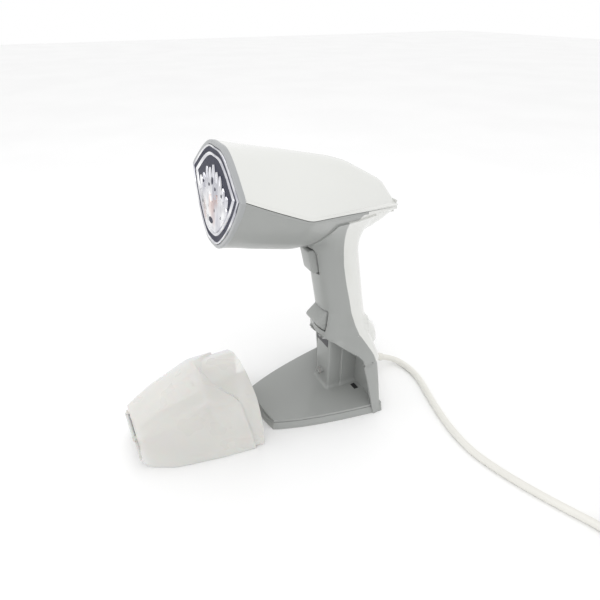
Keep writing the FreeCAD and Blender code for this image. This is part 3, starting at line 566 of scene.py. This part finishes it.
def belly_mesh(front, columns):
    shares = [0, 0.02] + spread(0.06, 1, 24)
    lines = [belly_line(share, front, columns) for share in shares]
    rows = [list(row) for row in zip(*lines)]
    if front:
        rows = to_bezel(rows, False)
    mesh = grid([lipped(whole(row), 0.4) for row in rows])
    weld(mesh)
    outward(mesh, Vector((0, 0, 225)))
    thicken(mesh, 2.2)
    return mesh


# --- handle, legs and rear cover -----------------------------------------------------

# height, front x, rear x, half width, squareness of the plan outline
HANDLE = [
    (0.0, 2.0, 58.0, 60.5, 14.0), (10.4, 4.0, 58.0, 58.9, 14.0), (43.0, 8.0, 58.0, 54.0, 9.0),
    (67.0, 12.0, 60.0, 47.5, 5.0), (72.0, 12.0, 61.0, 42.0, 3.4), (77.0, 12.0, 62.0, 34.5, 2.7),
    (82.0, 12.0, 62.0, 27.5, 2.4), (93.0, 13.6, 61.0, 22.2, 2.4), (110.0, 15.0, 57.6, 19.6, 2.5),
    (172.0, 5.0, 47.0, 19.6, 2.5),
]
SEAM = [(60.0, 49.0), (70.0, 47.0), (82.0, 43.0), (93.0, 39.5), (107.0, 35.5), (124.0, 32.2),
        (145.0, 27.5), (166.0, 23.8), (184.0, 23.0), (196.0, 25.5), (212.0, 34.0)]
ARCH = [(0.0, 47.2), (8.0, 46.0), (67.0, 37.0), (71.0, 33.0), (75.0, 26.0), (80.0, 17.5), (82.0, 12.0)]
ARCH_Z, CORNER_Z, NECK_Z, FLARE = 82.0, 62.0, 172.0, 19.0
REAR_HALF = 42.0


def plan(z, count=240):
    """Half of the outline in plan at a height, from the front middle round to the rear middle."""
    front, rear, half, square = table(HANDLE, z, 2.0)
    middle, deep = (front + rear) / 2, (rear - front) / 2
    line = []
    for step in range(count + 1):
        c, s = math.cos(math.pi * step / count), math.sin(math.pi * step / count)
        line.append(Vector((middle - deep * math.copysign(abs(c) ** (2 / square), c),
                            half * abs(s) ** (2 / square), z)))
    return line


def between(line, first, last):
    """The stretch of an outline between two tests, its ends found on the line."""
    def share(test, a, b):
        low, high = 0.0, 1.0
        for _ in range(20):
            mid = (low + high) / 2
            low, high = (mid, high) if test(a.lerp(b, mid)) else (low, mid)
        return low

    start = next((n for n in range(len(line) - 1) if not first(line[n + 1])), 0)
    end = next((n for n in range(start, len(line) - 1) if not last(line[n + 1])), len(line) - 2)
    head = line[start]
    if first(head):
        head = head.lerp(line[start + 1], share(first, head, line[start + 1]))
    tail = line[end].lerp(line[end + 1], share(last, line[end], line[end + 1]))
    return [head] + line[start + 1:end + 1] + [tail]


def grip_row(z, gray, count):
    """Half of the handle's outline at a height: its gray front stretch or its white rear one."""
    line = plan(z)
    arch, seam = straight(ARCH, z), straight(SEAM, z)
    if z > ARCH_Z - 0.001:
        arch = -999
    if z < CORNER_Z:
        def at_seam(p):
            return p.x < 30 or p.y > REAR_HALF
    else:
        def at_seam(p):
            return p.x < seam
    if gray:
        return resample(between(line, lambda p: p.x < arch, at_seam), count)
    return resample(between(line, at_seam, lambda p: True), count)


# share of the swelling's half width, and how much of its depth stands there
SWELLING = [(0, 1), (0.3, 0.995), (0.45, 0.96), (0.75, 0.76), (0.86, 0.6), (1.02, 0.05), (1.2, 0)]


def swollen(row):
    """The swelling low on the rear cover, which the cord comes out of."""
    out = []
    for p in row:
        depth = straight([(0, 22), (52, 20.5), (70, 19), (76, 16.5), (97, 0)], p.z)
        half = straight([(0, 25), (52, 23), (76, 20), (97, 15)], p.z)
        share = abs(p.y) / half
        lift = straight(SWELLING, share)
        bump = 57.8 + depth * lift
        out.append(Vector((max(p.x, bump) if p.x > 50 and depth * lift > 0 else p.x, p.y, p.z)))
    return out


def flared(row, count=9):
    """Rows that carry the top of the handle out into the underside of the head."""
    middle = Vector((24.0, 0))
    rows = []
    for step in range(1, count):
        t = step / (count - 1)
        made = []
        for p in row:
            away = Vector((p.x, p.y)) - middle
            away.normalize()
            start = Vector((p.x - 2.4, p.y))
            rise = belly_z(start.x, start.y)
            far = start + away * FLARE
            room = table(HEAD, far.x, 4.0)[1] * 0.86
            far.y = min(max(far.y, -room), room)
            tip = Vector((far.x, far.y, belly_z(far.x, far.y) + 1.6))
            made.append(bezier(p, Vector((start.x, start.y, rise + 0.6)), tip, t))
        rows.append(made)
    return rows


def mirrored(mesh):
    """Adds the mirror image across the middle plane and welds the two together."""
    copy = bmesh.ops.duplicate(mesh, geom=mesh.verts[:] + mesh.edges[:] + mesh.faces[:])["geom"]
    verts = [item for item in copy if isinstance(item, bmesh.types.BMVert)]
    bmesh.ops.scale(mesh, vec=(1, -1, 1), verts=verts)
    weld(mesh, 0.03)
    bmesh.ops.recalc_face_normals(mesh, faces=mesh.faces)


def edged(row, first, last, middle):
    """Rolls the chosen ends of a row in towards middle by a groove's depth."""
    row = list(row)
    if first:
        row = [row[0] + (middle - row[0]).normalized() * 0.5, row[0].lerp(row[1], 0.15)] + row[1:]
    if last:
        row = row[:-1] + [row[-1].lerp(row[-2], 0.15), row[-1] + (middle - row[-1]).normalized() * 0.5]
    return row


def make_front():
    """The gray front of the handle with its flare and arch, one sheet from the head to the table."""
    upper = spread(NECK_Z, 96, 20) + [92, 88, 85.5, 84, 83, 82.4, ARCH_Z]
    lower = [81.8, 81.4, 81, 80.4, 79.6, 78.4, 77, 75, 73, 71, 69.5, 68, 66.8, 65, 63.4, CORNER_Z]
    foot = spread(CORNER_Z - 0.01, 0.6, 20)
    rows = [grip_row(z, True, 30) for z in upper + lower]
    rows = list(reversed(flared(rows[0]))) + rows
    rows = [edged(row, False, True, Vector((30, 0, row[0].z))) for row in rows]
    mesh = grid(rows)
    grid([edged(grip_row(z, True, 30), False, False, Vector()) for z in foot], mesh=mesh)
    mirrored(mesh)
    outward(mesh, Vector((30, 0, 110)))
    window(mesh, 8.5, 154.6, 184.0, 13.0)
    window(mesh, 12.0, 88.0, 113.2, 24.0)
    thicken(mesh, 2.3)
    make_piece("front_body", mesh, "steamer", "gray_shell", ["front_shell"], sharp=40)


def make_rear():
    """The white rear cover, with the swelling that the cord leaves from."""
    upper = spread(NECK_Z, 100, 20) + spread(98, CORNER_Z, 16)
    rows = [swollen(grip_row(z, False, 32)) for z in upper]
    rows = list(reversed(flared(rows[0]))) + rows
    rows = [edged(row, True, False, Vector((30, 0, row[0].z))) for row in rows]
    mesh = grid(rows)
    lower = [swollen(grip_row(z, False, 33)) for z in spread(CORNER_Z - 0.01, 0.6, 18)]
    grid(lower, mesh=mesh)
    mirrored(mesh)
    outward(mesh, Vector((30, 0, 110)))
    thicken(mesh, 2.2)
    make_piece("rear_body", mesh, "steamer", "white_shell", ["rear_cover"], sharp=40)
    mesh = belly_mesh(False, 22)
    make_piece("head_rear_underside", mesh, "steamer", "white_shell", sharp=50)


make_head()
make_piece("head_underside", belly_mesh(True, 40), "steamer", "gray_shell", sharp=50)
make_front()
make_rear()


# --- nozzle --------------------------------------------------------------------------

def ring_rows(steps, count=41):
    """Closed rows of the nozzle's outline at each (depth, grow)."""
    rows = []
    for depth, grow in steps:
        half = face_line(grow, count)
        loop = half + [Vector((p.x, -p.y, p.z)) for p in reversed(half[1:-1])]
        rows.append([on_face(depth, p) for p in loop])
    return rows


def make_nozzle():
    steps = [(BEZEL_DEEP, 3.3), (2.2, 3.5), (1.4, 3.3), (0.9, 2.8), (0.8, 2.0), (1.1, 0.4), (3.0, 0.3)]
    mesh = grid(ring_rows(steps), closed=True)
    bmesh.ops.recalc_face_normals(mesh, faces=mesh.faces)
    make_piece("bezel", mesh, "steamer", "bezel_gray", ["nozzle_bezel"], sharp=45)
    steps = [(2.8, 0.0), (0.4, 0.0), (0.0, -0.4), (0.0, -1.3), (0.5, -1.8)]
    mesh = grid(ring_rows(steps), closed=True)
    bmesh.ops.recalc_face_normals(mesh, faces=mesh.faces)
    make_piece("plate_rim", mesh, "steamer", "polished_plate", sharp=45)
    steps = [(0.5, -1.8), (0.9, -6.4)]
    mesh = grid(ring_rows(steps), closed=True)
    bmesh.ops.recalc_face_normals(mesh, faces=mesh.faces)
    make_piece("plate_band", mesh, "steamer", "polished_plate", look=NAVY_AND_HOLE_SHADE)
    steps = [(0.9, -6.4), (0.0, -6.7), (-0.3, -7.2), (0.0, -8.6), (0.7, -9.0), (0.9, -9.6)]
    mesh = grid(ring_rows(steps), closed=True)
    bmesh.ops.recalc_face_normals(mesh, faces=mesh.faces)
    make_piece("plate_step", mesh, "steamer", "polished_plate", sharp=45)
    mesh = bmesh.new()
    mesh.faces.new([mesh.verts.new(p) for p in ring_rows([(0.85, -9.5)])[0]])
    bmesh.ops.recalc_face_normals(mesh, faces=mesh.faces)
    make_piece("plate_field", mesh, "steamer", "polished_plate", ["steam_plate"], look=NAVY_AND_HOLE_SHADE)


def finger_rows(y, top, low, half, fan):
    """Rows of one pointed upright ridge of the plate, from its tip down."""
    rows = []
    for share in spread(0, 1, 13):
        z = top + (low - top) * share
        wide = half * math.sin(min(1, share * 2.6 + 0.04) * math.pi / 2)
        middle = y + fan * (1 - share)
        edge = [(-1, 0.1), (-0.82, 1.0), (-0.3, 1.45), (0.3, 1.45), (0.82, 1.0), (1, 0.1)]
        rows.append([on_face(0.8 - tall, Vector((0, middle + side * wide, z))) for side, tall in edge])
    return rows


def outlet(mesh, y, z, wide, tall, depth=-0.75, turns=18):
    """A steam outlet in painted shade: a dark, shallow disc just proud of the ridge, standing in for the
    shadowed hole.
    """
    rim = [on_face(depth, Vector((0, y + wide * math.cos(t), z + tall * math.sin(t))))
           for t in spread(0, math.tau, turns + 1)[:-1]]
    grid([rim, [p + Vector((1.5, 0, 0)) for p in rim]], closed=True, mesh=mesh)
    mesh.faces.new([mesh.verts.new(p) for p in rim])


# y and z of half of the lower shield's outline, from its notch round to its foot
SHIELD = [(0, -17.5), (3.5, -13), (7.5, -8), (15, -10.5), (23, -9), (29.5, -11.5), (32.5, -15),
          (24.5, -27), (10.5, -38.5), (0, -39.2)]


def make_fingers():
    """The bright upright ridges of the plate, its lower shield and the steam outlets among them, drawn as
    dark discs of painted shade.
    """
    mesh = bmesh.new()
    for n in range(-4, 5):
        top = 11.6 - abs(n) ** 1.7 * 1.45 - (2.2 if n % 2 else 0.0)
        grid(finger_rows(n * 6.9, top, -16 + abs(n) * 1.0, 2.9, n * 0.35), mesh=mesh)
    outward(mesh, Vector((0, 0, 250)))
    make_piece("plate_ridges", mesh, "steamer", "polished_plate", sharp=60)
    loop = rounded([Vector((0, y, z)) for y, z in SHIELD], 0.3)
    loop += [Vector((0, -p.y, p.z)) for p in reversed(loop[1:-1])]
    middle = Vector((0, 0, -24))
    steps = [(0.8, 0.0), (-0.2, 0.0), (-0.55, 0.35), (-0.7, 1.4), (-0.3, 2.4), (-0.3, 4.0), (-0.75, 5.0)]
    rows = [[on_face(depth, p + (middle - p).normalized() * inset) for p in loop] for depth, inset in steps]
    mesh = grid(rows, closed=True)
    mesh.faces.new([mesh.verts.new(p) for p in rows[-1]])
    weld(mesh)
    bmesh.ops.recalc_face_normals(mesh, faces=mesh.faces)
    make_piece("plate_shield", mesh, "steamer", "polished_plate", look=COPPER, sharp=50)
    # The steam outlets and the recess in the shield: dark discs of painted shade where the holes are.
    mesh = bmesh.new()
    for row, count in ((-4.5, 4), (-21.0, 4)):
        for y in spread(-(count - 1) * 6.9, (count - 1) * 6.9, count):
            outlet(mesh, y, row - abs(y) * 0.08, 1.25, 1.4)
    outlet(mesh, 0, -0.5, 1.6, 3.0)
    outlet(mesh, 0, -31.5, 4.6, 2.4, depth=-0.85)
    weld(mesh)
    bmesh.ops.recalc_face_normals(mesh, faces=mesh.faces)
    make_piece("steam_outlet_shade", mesh, "steamer", "polished_plate", look=NAVY_AND_HOLE_SHADE)


make_nozzle()
make_fingers()


# --- trigger and release button --------------------------------------------------------

TRIGGER = [(-5.4, 180.0), (-0.9, 158.6), (0.6, 156.6), (7.6, 156.2), (9.5, 159.0), (9.5, 168.0),
           (8.2, 181.0), (-3.6, 181.0)]
BUTTON = [(14.6, 111.0), (5.2, 103.4), (3.2, 100.6), (5.0, 97.6), (12.6, 89.4), (18.5, 88.6), (18.5, 112.6)]
make_piece("trigger_cap", side_block(TRIGGER, 8.0, 1.3), "trigger", "gray_shell", ["trigger"])
make_piece("release_cap", side_block(BUTTON, 11.5, 1.4), "release_button", "gray_shell", ["release_button"])


# --- base ----------------------------------------------------------------------------

BASE_TOP = 10.4


def base_line(grow=0.0):
    """Half of the outline of the base in plan, from its front middle round to its rear."""
    bow = [Vector((-58.3, 0, 0)), Vector((-57.6, 15, 0)), Vector((-54.5, 29, 0))]
    side = [Vector((-54.5, 29, 0)), Vector((-19, 45.6, 0)), Vector((58, 58.5, 0))]
    line = resample([bezier(*bow, t) for t in spread(0, 1, 9)], 9)
    line += [bezier(*side, t) for t in spread(0, 1, 25)][1:]
    out = []
    for n, p in enumerate(line):
        along = line[min(n + 1, len(line) - 1)] - line[max(n - 1, 0)]
        normal = Vector((-along.y, along.x, 0)).normalized()
        out.append(p + normal * grow if n else p - Vector((grow, 0, 0)))
    return out


def base_rows(steps):
    rows = []
    for z, grow in steps:
        half = base_line(grow)
        far = [Vector((p.x, -p.y, z)) for p in reversed(half[1:])]
        rows.append([Vector((p.x, p.y, z)) for p in half] + far)
    return rows


def make_base():
    steps = [(6.6, -2.4), (7.3, -2.4), (7.3, -0.4), (6.9, 0.0), (1.0, 2.1), (0.0, 2.0), (0.0, -2.0)]
    mesh = grid(base_rows(steps), closed=True)
    bmesh.ops.recalc_face_normals(mesh, faces=mesh.faces)
    make_piece("base_rim", mesh, "steamer", "gray_shell", sharp=30)


def flat_rows(x, y, soft, steps, count=6):
    """Rows of a rounded rectangle at each (z, grow)."""
    rows = []
    for z, grow in steps:
        low, high = (x[0] - grow, y[0] - grow), (x[1] + grow, y[1] + grow)
        corners = [(high[0], high[1], 0), (low[0], high[1], 1), (low[0], low[1], 2), (high[0], low[1], 3)]
        row = []
        for cx, cy, quarter in corners:
            inner = Vector((cx - math.copysign(soft, cx - sum(x) / 2),
                            cy - math.copysign(soft, cy - sum(y) / 2), z))
            for turn in spread(quarter * math.pi / 2, (quarter + 1) * math.pi / 2, count):
                row.append(inner + Vector((soft * math.cos(turn), soft * math.sin(turn), 0)))
        rows.append(row)
    return rows


FOOT_FILLET = [(0.0, 3.4), (0.5, 2.0), (1.3, 1.0), (2.6, 0.3), (4.5, 0.0)]


def make_plate():
    """The plate that the tank stands on, its post, and the lining at the back of the bay."""
    mesh = grid(base_rows([(7.8, -0.6), (9.8, -0.5), (10.25, -0.8), (10.4, -1.4)]), closed=True)
    top = base_rows([(BASE_TOP, -1.4)])[0]
    mesh.faces.new([mesh.verts.new(p) for p in top])
    weld(mesh)
    bmesh.ops.recalc_face_normals(mesh, faces=mesh.faces)
    make_piece("base_top", mesh, "steamer", "gray_shell", ["base_plate"], sharp=40)
    steps = [(BASE_TOP - 0.2 + z, grow) for z, grow in FOOT_FILLET] + [(79.0, 0.0)]
    mesh = grid(flat_rows((18.4, 36), (-12.6, 12.6), 2.2, steps), closed=True)
    grid(flat_rows((34, 54.5), (-13.9, 13.9), 1.2, steps[:-1] + [(73.0, 0.0)]), closed=True, mesh=mesh)
    bmesh.ops.recalc_face_normals(mesh, faces=mesh.faces)
    make_piece("base_post", mesh, "steamer", "gray_shell", sharp=40)
    # The slot in the front of the post: a dark sheet of painted shade that stands in for its shadowed
    # inside.
    slot = side_block([(17.9, 65), (17.9, 78.6), (18.8, 78.6), (18.8, 65)], 10.5, 0.3)
    make_piece("post_slot_shade", slot, "steamer", "gray_shell", look=LOOKS["dark_plastic"])
    rows = []
    for z in spread(BASE_TOP, 66, 12):
        half = 52.5 - (z - BASE_TOP) * 0.165
        line = [Vector((46.5, -half, z)), Vector((53.6, -half + 1, z)), Vector((53.6, -half + 9, z)),
                Vector((53.6, 0, z))]
        line = rounded(line, 0.4)
        rows.append(line + [Vector((p.x, -p.y, p.z)) for p in reversed(line[:-1])])
    mesh = grid(rows)
    thicken(mesh, 0.8)
    make_piece("bay_lining", mesh, "steamer", "gray_shell", sharp=40)
    mesh = bmesh.new()
    for side in (-1, 1):
        grid(flat_rows((43.5, 48.8), (side * 24 - 4.4, side * 24 + 4.4), 0.7,
                       [(BASE_TOP + 0.05, 0.5), (BASE_TOP + 0.25, 0.3), (BASE_TOP + 0.25, 0.0),
                        (8.2, -0.1)]),
             closed=True, mesh=mesh)
    bmesh.ops.recalc_face_normals(mesh, faces=mesh.faces)
    make_piece("catch_rims", mesh, "steamer", "gray_shell", sharp=40)
    # The catch holes in the plate: black faces of painted shade over them, standing in for their shadowed
    # insides.
    mesh = bmesh.new()
    for side in (-1, 1):
        row = flat_rows((43.5, 48.8), (side * 24 - 4.4, side * 24 + 4.4), 0.7, [(BASE_TOP + 0.1, 0.0)])[0]
        mesh.faces.new([mesh.verts.new(p) for p in row])
    make_piece("catch_slot_shade", mesh, "steamer", "gray_shell", look=LOOKS["black_plastic"])


make_base()
make_plate()

# --- tank ----------------------------------------------------------------------------

AWAY = Vector((-125.4, 8.5, -10.4))
TANK_FRONT, TANK_REAR, SLOT_X, SLOT_HALF = -57.0, 53.0, 15.5, 14.6
# x, then y and z of the outline's corners: crown, shoulder, edge, side, foot
TANK = [
    (-57.0, 0, 49.6, 15, 49.2, 27.5, 46.4, 28.0, 34.0, 26.5, 23.0, 24.0, 17.0),
    (-52.0, 0, 53.0, 15, 52.4, 29.8, 49.0, 31.0, 34.0, 30.2, 22.0, 27.0, 10.6),
    (-30.0, 0, 65.2, 18, 64.0, 34.4, 58.6, 40.6, 36.0, 41.3, 24.0, 38.8, 10.6),
    (9.0, 0, 84.6, 18, 82.4, 37.0, 73.0, 47.2, 42.0, 49.8, 25.0, 47.4, 10.6),
    (14.0, 0, 83.4, 20, 81.0, 39.0, 71.0, 48.4, 42.0, 50.6, 25.0, 48.4, 10.6),
    (48.0, 0, 82.6, 20, 80.0, 44.5, 66.0, 54.0, 42.0, 56.3, 25.0, 53.2, 10.6),
]
STEP_IN, TANK_ROOF = 2.4, 78.2


def tank_row(x, inset):
    """Half of the tank's outline at x, from its crown to its foot."""
    flat = table(TANK, x, 2.0)
    points = [Vector((x, y, z)) for y, z in zip(flat[::2], flat[1::2])]
    line = resample(rounded(points, 0.32), 28)
    middle = Vector((x, 0, 36))
    out = []
    for p in line:
        away = p - middle
        out.append(p - away.normalized() * inset if inset else p)
    return out


def tank_sheet(start, end, inset, count):
    """Rows of the tank between two lines, each a function of the height."""
    rows = []
    for share in spread(0, 1, count):
        row = []
        for column in range(28):
            x = 0.0
            for _ in range(8):
                z = tank_row(x, inset)[column].z
                x = start(z) + (end(z) - start(z)) * share
            row.append(tank_row(x, inset)[column])
        rows.append(row)
    return rows


def make_tank():
    """The milky shell of the tank: the outer skin, its step, and the two arms round the post."""
    outer = tank_sheet(lambda z: TANK_FRONT, lambda z: straight(ARCH, z) - 1, 0, 26)
    step = tank_sheet(lambda z: straight(ARCH, z) - 1.2, lambda z: straight(ARCH, z) - 1, STEP_IN, 2)[:1]
    arms = tank_sheet(lambda z: straight(ARCH, z) - 1, lambda z: TANK_REAR, STEP_IN, 12)
    rows = [list(reversed(row)) + [Vector((p.x, -p.y, p.z)) for p in row[1:]] for row in outer + step + arms]
    mesh = grid(rows)
    near, far = [row[-1] for row in rows], [row[0] for row in rows]
    foot, roof = near[-1].z, TANK_ROOF
    plan_line = [Vector((TANK_REAR, -SLOT_HALF, 0)), Vector((SLOT_X, -SLOT_HALF, 0)),
                 Vector((SLOT_X, SLOT_HALF, 0)), Vector((TANK_REAR, SLOT_HALF, 0))]
    grid([[Vector((p.x, p.y, z)) for p in plan_line] for z in (foot, roof)], mesh=mesh)
    flat = [p for p in near if p.z < foot + 0.5]
    floor = [Vector((p.x, p.y, foot)) for p in flat + plan_line]
    floor += [Vector((p.x, -p.y, foot)) for p in reversed(flat)]
    mesh.faces.new([mesh.verts.new(p) for p in floor])
    for side in (1, -1):
        wall = [Vector((p.x, p.y * side, p.z)) for p in arms[-1] if p.y > SLOT_HALF]
        wall += [Vector((TANK_REAR, SLOT_HALF * side, foot)), Vector((TANK_REAR, SLOT_HALF * side, roof))]
        mesh.faces.new([mesh.verts.new(p) for p in wall])
    front = bmesh.new()
    front.faces.new([front.verts.new(p) for p in rows[0]])
    window(front, 17.0, 26.0, 38.0, 0.0)
    for face in front.faces:
        mesh.faces.new([mesh.verts.new(v.co) for v in face.verts])
    front.free()
    weld(mesh)
    bmesh.ops.translate(mesh, vec=AWAY, verts=mesh.verts)
    bmesh.ops.recalc_face_normals(mesh, faces=mesh.faces)
    make_piece("tank_skin", mesh, "tank", "tank_clear", ["tank_hood", "tank_tub"], sharp=28)


make_tank()

# --- floor and light -----------------------------------------------------------------


def make_floor():
    mesh = bmesh.new()
    bmesh.ops.create_grid(mesh, x_segments=2, y_segments=2, size=6.0)
    data = bpy.data.meshes.new("floor")
    mesh.to_mesh(data)
    mesh.free()
    floor = bpy.data.objects.new("floor", data)
    bpy.context.scene.collection.objects.link(floor)
    look = Look("floor", specular_ior_level=0.1)
    look.feed(base_color=look.blend(look.noise(3.0).band(0.3, 0.7), (0.93, 0.93, 0.93), (0.95, 0.95, 0.95)))
    look.feed(roughness=look.noise(8.0).band(0.3, 0.7, 0.8, 0.9))
    data.materials.append(look.mat)


def add_light(name, place, aim, power, wide, tall):
    lamp = bpy.data.lights.new(name, "AREA")
    lamp.shape, lamp.size, lamp.size_y, lamp.energy = "RECTANGLE", wide, tall, power
    light = bpy.data.objects.new(name, lamp)
    light.location = place
    light.rotation_euler = (Vector(aim) - Vector(place)).to_track_quat("-Z", "Y").to_euler()
    bpy.context.scene.collection.objects.link(light)


def set_world():
    world = bpy.data.worlds.new("world")
    world.use_nodes = True
    world.node_tree.nodes["Background"].inputs["Color"].default_value = (1, 1, 1, 1)
    world.node_tree.nodes["Background"].inputs["Strength"].default_value = 1.0
    bpy.context.scene.world = world
    bpy.context.scene.view_settings.view_transform = "Standard"


make_floor()
set_world()
add_light("key", (-0.5, -0.7, 1.3), (0, 0, 0.12), 2.6, 0.8, 0.8)
add_light("side", (-1.1, 0.3, 0.5), (0, 0, 0.15), 1.2, 0.5, 0.7)
add_light("top", (0.3, 0.3, 1.5), (0, 0, 0.1), 1.2, 0.9, 0.5)
